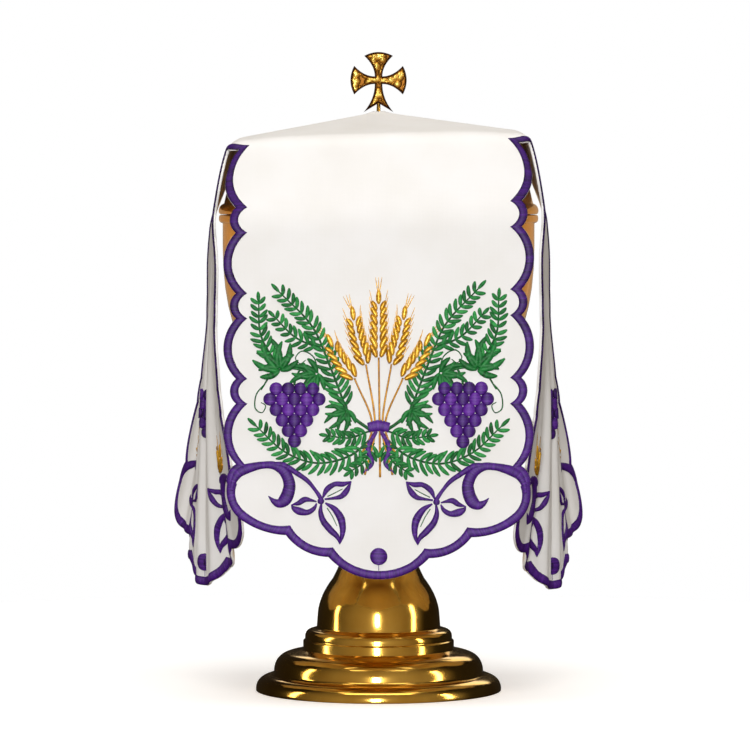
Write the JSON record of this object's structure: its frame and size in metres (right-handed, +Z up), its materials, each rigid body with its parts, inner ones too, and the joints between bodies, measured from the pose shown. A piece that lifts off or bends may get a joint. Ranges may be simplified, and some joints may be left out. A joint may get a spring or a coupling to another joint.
{
  "type": "ciborium veil on a ciborium",
  "caption": "White cross-shaped cloth with a scalloped purple edge, draped over a covered brass altar cup with a turned foot and a cross finial.",
  "frame": {"origin": "centre of the foot's resting ring, on the surface that it stands on", "axes": "+Z up along the stem, +X to the right of the embroidered front, -Y towards the viewer of the front"},
  "size_m": [0.1878, 0.1513, 0.2871],
  "materials": {
    "cloth": "matte woven cloth, off-white",
    "brass": "polished, gold-coloured",
    "gilt": "cast and gilded, rough in its recesses",
    "purple_thread": "glossy embroidery thread in satin stitch",
    "green_thread": "glossy embroidery thread",
    "gold_thread": "metallic embroidery thread"
  },
  "bodies": {
    "root": {"veil": "cloth", "foot": "brass", "foot_nut": "brass", "knob": "brass", "bowl": "brass", "lid": "brass", "finial_cross": "gilt", "finial_nut": "brass"}
  },
  "joints": []
}
